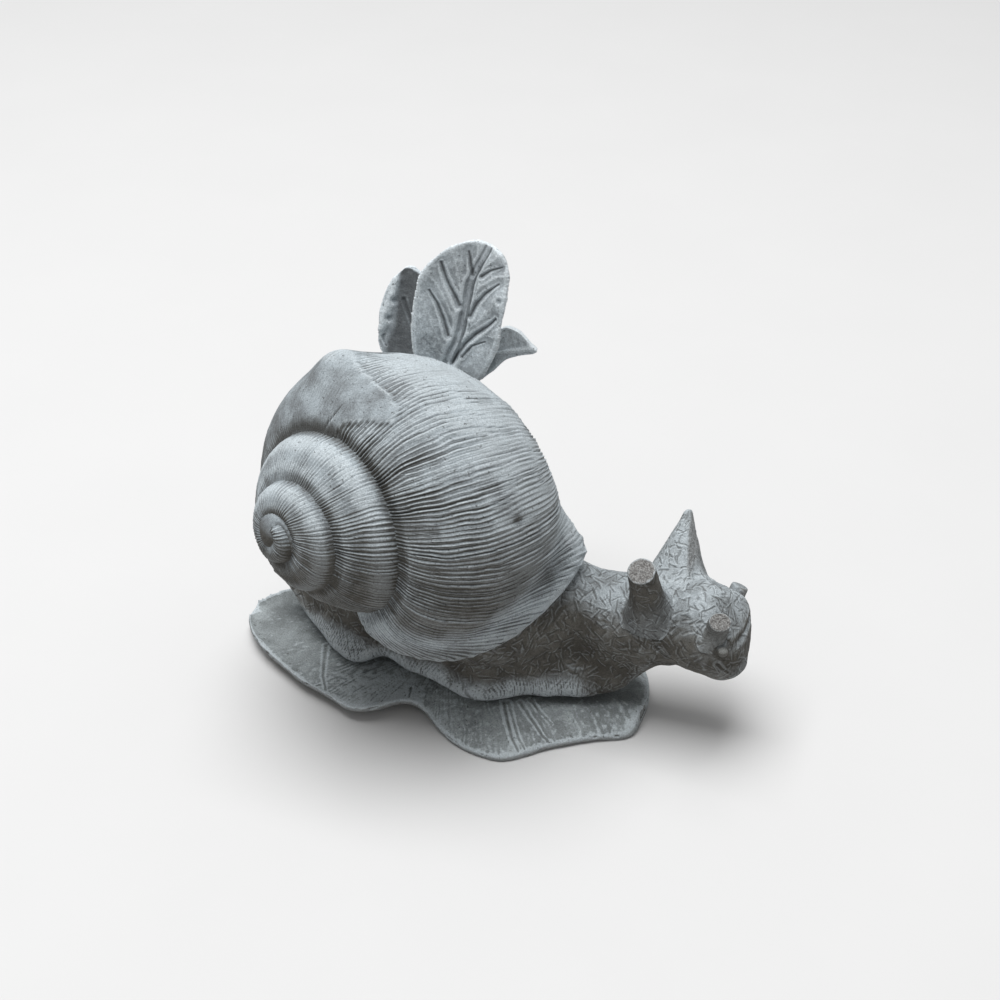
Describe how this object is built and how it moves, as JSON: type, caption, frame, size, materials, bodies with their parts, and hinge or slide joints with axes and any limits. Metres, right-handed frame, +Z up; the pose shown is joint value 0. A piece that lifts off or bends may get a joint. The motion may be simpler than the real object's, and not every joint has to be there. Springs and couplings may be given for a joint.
{
  "type": "snail garden ornament",
  "caption": "Cast stone garden snail that crawls over a broad wavy leaf, with a wound shell, broken horns and a sprig of upright leaves behind the shell.",
  "frame": {"origin": "on the ground under the leaf, below the middle of the shell", "axes": "+X is the way the snail looks, +Y is its left side and +Z is up"},
  "size_m": [0.3205, 0.1853, 0.267],
  "materials": {
    "leaf_stone": "weathered cast stone, matt",
    "body_stone": "tooled cast stone, matt, brownish in the hollows",
    "shell_stone": "cast stone with growth lines, matt, lighter where rain and touch wear it",
    "sprig_stone": "cast stone with leaf veins, matt",
    "eye_stone": "dark cast stone, slightly smoother"
  },
  "bodies": {
    "root": {"leaf_base": "leaf_stone", "snail_body": "body_stone", "shell": "shell_stone", "horn_right": "body_stone", "horn_left": "body_stone", "feeler_right": "body_stone", "feeler_left": "body_stone", "eye_right": "eye_stone", "eye_left": "eye_stone", "sprig_knuckle": "sprig_stone", "leaf_tall": "sprig_stone", "leaf_curled": "sprig_stone", "leaf_pointed": "sprig_stone"}
  },
  "joints": []
}
